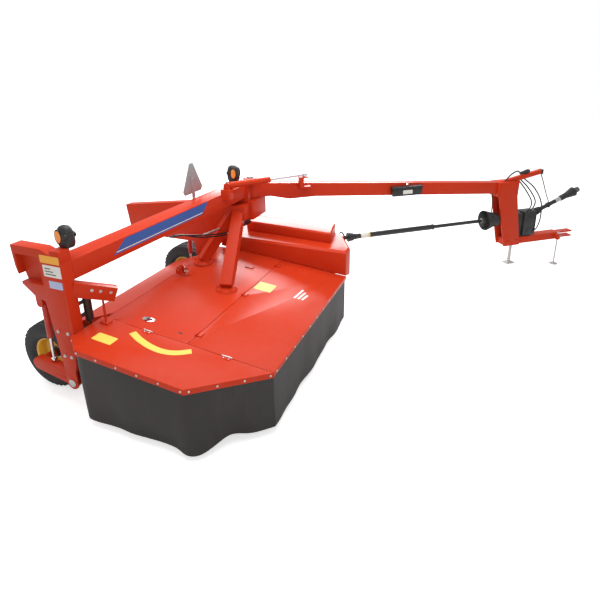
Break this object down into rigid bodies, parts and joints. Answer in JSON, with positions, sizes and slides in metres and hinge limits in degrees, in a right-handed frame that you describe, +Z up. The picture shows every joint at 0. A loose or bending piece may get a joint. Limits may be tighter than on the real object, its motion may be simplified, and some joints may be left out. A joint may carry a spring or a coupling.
{
  "type": "pull-type disc mower conditioner",
  "caption": "Side-pull disc mower conditioner with a swinging tongue, curtained header, trailing wheels and telescoping driveline.",
  "frame": {"origin": "on the floor under the middle of the machine's outline", "axes": "+X the direction of travel, +Y the machine's left, +Z up"},
  "size_m": [6.6982, 6.6252, 2.3],
  "materials": {
    "red_paint": "gloss",
    "inner_paint": "satin",
    "black_paint": "satin",
    "black_plastic": "matt",
    "curtain_rubber": "matt",
    "steel": "satin",
    "chrome": "polished",
    "rim_paint": "gloss",
    "tyre": "matt",
    "marker": "satin"
  },
  "bodies": {
    "frame": {"cross_beam": "red_paint", "cutterbar": "black_paint", "drive_cover_left": "red_paint", "drive_hood_left": "red_paint", "end_cap_right": "red_paint", "end_curtain_left": "curtain_rubber", "end_curtain_right": "curtain_rubber", "float_link_right": "red_paint", "header_frame": "inner_paint", "header_tower": "red_paint", "left_gear_case": "black_paint", "left_wheel_carrier": "red_paint", "marker_plate": "marker", "pivot_head": "red_paint", "rear_deck_panel": "red_paint", "rear_hood": "red_paint", "right_leg": "red_paint", "warning_lamp_left": "black_plastic", "warning_lamp_right": "black_plastic"},
    "tongue": {"tongue_beam": "red_paint", "tongue_head": "red_paint", "drawbar": "red_paint", "front_gear_case": "black_paint", "pto_shaft": "black_plastic", "manual_box": "black_plastic"},
    "jack": {"jack_leg": "steel"},
    "stand": {"drawbar_stand": "steel"},
    "swing_barrel": {"swing_barrel": "red_paint"},
    "swing_rod": {"swing_rod": "chrome"},
    "driveline_outer": {"driveline_outer": "black_plastic"},
    "driveline_inner": {"driveline_inner": "black_plastic"},
    "front_shield": {"front_shield": "red_paint", "front_curtain": "curtain_rubber"},
    "wheel_arm_right": {"wheel_arm_right": "red_paint"},
    "wheel_arm_left": {"wheel_arm_left": "red_paint"},
    "wheel_right": {"tyre_right": "tyre", "rim_right": "rim_paint"},
    "wheel_left": {"tyre_left": "tyre", "rim_left": "rim_paint"},
    "lift_barrel_right": {"lift_barrel_right": "red_paint"},
    "lift_rod_right": {"lift_rod_right": "chrome"},
    "lift_barrel_left": {"lift_barrel_left": "red_paint"},
    "lift_rod_left": {"lift_rod_left": "chrome"},
    "lower_roll": {"lower_roll": "curtain_rubber"},
    "upper_roll": {"upper_roll": "curtain_rubber"},
    "swath_gate": {"swath_gate": "inner_paint"},
    "windrow_shield_right": {"windrow_shield_right": "red_paint"},
    "windrow_shield_left": {"windrow_shield_left": "red_paint"},
    "disc_1": {"cutting_disc_1": "steel"},
    "disc_2": {"cutting_disc_2": "steel"},
    "disc_3": {"cutting_disc_3": "steel"},
    "disc_4": {"cutting_disc_4": "steel"},
    "disc_5": {"cutting_disc_5": "steel"},
    "disc_6": {"cutting_disc_6": "steel"},
    "disc_7": {"cutting_disc_7": "steel"},
    "disc_8": {"cutting_disc_8": "steel"}
  },
  "joints": [
    {"name": "tongue_swing", "type": "hinge", "parent": "frame", "child": "tongue", "pos_m": [-1.28906, -0.36263, 1.8], "axis": [0, 0, 1], "range_deg": [-49, 0]},
    {"name": "front_shield_lid", "type": "hinge", "parent": "frame", "child": "front_shield", "pos_m": [-0.78907, -1.76263, 0.82116], "axis": [0, -1, 0], "range_deg": [0, 65]},
    {"name": "wheel_arm_right_lift", "type": "hinge", "parent": "frame", "child": "wheel_arm_right", "pos_m": [-1.99907, -3.05763, 0.29], "axis": [0, -1, 0], "range_deg": [0, 35]},
    {"name": "wheel_right_spin", "type": "hinge", "parent": "wheel_arm_right", "child": "wheel_right", "pos_m": [-2.49906, -2.80263, 0.3935], "axis": [0, 1, 0], "continuous": true},
    {"name": "lift_barrel_right_turn", "type": "hinge", "parent": "frame", "child": "lift_barrel_right", "pos_m": [-2.26406, -3.05763, 1.17], "axis": [0, -1, 0], "range_deg": [-3.59, 0]},
    {"name": "lift_rod_right_slide", "type": "slide", "parent": "lift_barrel_right", "child": "lift_rod_right", "axis": [-0.0292, 0, -0.9996], "range_m": [0, 0.2041]},
    {"name": "wheel_arm_left_lift", "type": "hinge", "parent": "frame", "child": "wheel_arm_left", "pos_m": [-1.99907, -0.53263, 0.29], "axis": [0, -1, 0], "range_deg": [0, 35]},
    {"name": "wheel_left_spin", "type": "hinge", "parent": "wheel_arm_left", "child": "wheel_left", "pos_m": [-2.49906, -0.27763, 0.3935], "axis": [0, 1, 0], "continuous": true},
    {"name": "lift_barrel_left_turn", "type": "hinge", "parent": "frame", "child": "lift_barrel_left", "pos_m": [-2.26406, -0.53263, 1.17], "axis": [0, -1, 0], "range_deg": [-3.59, 0]},
    {"name": "lift_rod_left_slide", "type": "slide", "parent": "lift_barrel_left", "child": "lift_rod_left", "axis": [-0.0292, 0, -0.9996], "range_m": [0, 0.2041]},
    {"name": "jack_slide", "type": "slide", "parent": "tongue", "child": "jack", "axis": [0, 0, 1], "range_m": [0, 0.26]},
    {"name": "stand_slide", "type": "slide", "parent": "tongue", "child": "stand", "axis": [0, 0, 1], "range_m": [0, 0.2]},
    {"name": "swing_barrel_turn", "type": "hinge", "parent": "frame", "child": "swing_barrel", "pos_m": [-1.29906, -0.96263, 1.985], "axis": [0, 0, 1], "range_deg": [-31.07, 0]},
    {"name": "swing_rod_slide", "type": "slide", "parent": "swing_barrel", "child": "swing_rod", "axis": [0.5906, 0.807, 0], "range_m": [-0.39287, 0]},
    {"name": "driveline_turn", "type": "hinge", "parent": "frame", "child": "driveline_outer", "pos_m": [-0.07906, 0.32737, 0.985], "axis": [0, 0, 1], "range_deg": [-72.5, 0]},
    {"name": "driveline_slide", "type": "slide", "parent": "driveline_outer", "child": "driveline_inner", "axis": [0.7363, 0.6763, -0.0196], "range_m": [0, 0.33148]},
    {"name": "disc_1_spin", "type": "hinge", "parent": "frame", "child": "disc_1", "pos_m": [-0.42906, -2.90763, 0.16], "axis": [0, 0, 1], "continuous": true},
    {"name": "disc_2_spin", "type": "hinge", "parent": "frame", "child": "disc_2", "pos_m": [-0.42906, -2.52263, 0.16], "axis": [0, 0, 1], "continuous": true},
    {"name": "disc_3_spin", "type": "hinge", "parent": "frame", "child": "disc_3", "pos_m": [-0.42906, -2.13763, 0.16], "axis": [0, 0, 1], "continuous": true},
    {"name": "disc_4_spin", "type": "hinge", "parent": "frame", "child": "disc_4", "pos_m": [-0.42906, -1.75263, 0.16], "axis": [0, 0, 1], "continuous": true},
    {"name": "disc_5_spin", "type": "hinge", "parent": "frame", "child": "disc_5", "pos_m": [-0.42906, -1.36763, 0.16], "axis": [0, 0, 1], "continuous": true},
    {"name": "disc_6_spin", "type": "hinge", "parent": "frame", "child": "disc_6", "pos_m": [-0.42906, -0.98263, 0.16], "axis": [0, 0, 1], "continuous": true},
    {"name": "disc_7_spin", "type": "hinge", "parent": "frame", "child": "disc_7", "pos_m": [-0.42906, -0.59763, 0.16], "axis": [0, 0, 1], "continuous": true},
    {"name": "disc_8_spin", "type": "hinge", "parent": "frame", "child": "disc_8", "pos_m": [-0.42906, -0.21263, 0.16], "axis": [0, 0, 1], "continuous": true},
    {"name": "lower_roll_spin", "type": "hinge", "parent": "frame", "child": "lower_roll", "pos_m": [-1.07906, -1.76263, 0.33], "axis": [0, 1, 0], "continuous": true},
    {"name": "upper_roll_spin", "type": "hinge", "parent": "frame", "child": "upper_roll", "pos_m": [-1.07906, -1.76263, 0.57], "axis": [0, 1, 0], "continuous": true},
    {"name": "swath_gate_tilt", "type": "hinge", "parent": "frame", "child": "swath_gate", "pos_m": [-1.93907, -1.61512, 0.79], "axis": [0, 1, 0], "range_deg": [-35, 5]},
    {"name": "windrow_shield_right_swing", "type": "hinge", "parent": "frame", "child": "windrow_shield_right", "pos_m": [-2.01906, -2.60263, 0.5], "axis": [0, 0, -1], "range_deg": [0, 25]},
    {"name": "windrow_shield_left_swing", "type": "hinge", "parent": "frame", "child": "windrow_shield_left", "pos_m": [-2.01906, -0.62763, 0.5], "axis": [0, 0, 1], "range_deg": [0, 25]}
  ],
  "couplings": [
    {"joint": "lift_barrel_right_turn", "follows": "wheel_arm_right_lift", "ratio": -0.10057},
    {"joint": "lift_rod_right_slide", "follows": "wheel_arm_right_lift", "m_per_rad": 0.33082},
    {"joint": "lift_barrel_left_turn", "follows": "wheel_arm_left_lift", "ratio": -0.10057},
    {"joint": "lift_rod_left_slide", "follows": "wheel_arm_left_lift", "m_per_rad": 0.33082},
    {"joint": "swing_barrel_turn", "follows": "tongue_swing", "ratio": 0.62159},
    {"joint": "swing_rod_slide", "follows": "tongue_swing", "m_per_rad": 0.45484},
    {"joint": "driveline_turn", "follows": "tongue_swing", "ratio": 1.465},
    {"joint": "driveline_slide", "follows": "tongue_swing", "m_per_rad": -0.38},
    {"joint": "disc_2_spin", "follows": "disc_1_spin", "ratio": -1},
    {"joint": "disc_3_spin", "follows": "disc_1_spin", "ratio": 1},
    {"joint": "disc_4_spin", "follows": "disc_1_spin", "ratio": -1},
    {"joint": "disc_5_spin", "follows": "disc_1_spin", "ratio": 1},
    {"joint": "disc_6_spin", "follows": "disc_1_spin", "ratio": -1},
    {"joint": "disc_7_spin", "follows": "disc_1_spin", "ratio": 1},
    {"joint": "disc_8_spin", "follows": "disc_1_spin", "ratio": -1},
    {"joint": "upper_roll_spin", "follows": "lower_roll_spin", "ratio": -1}
  ]
}
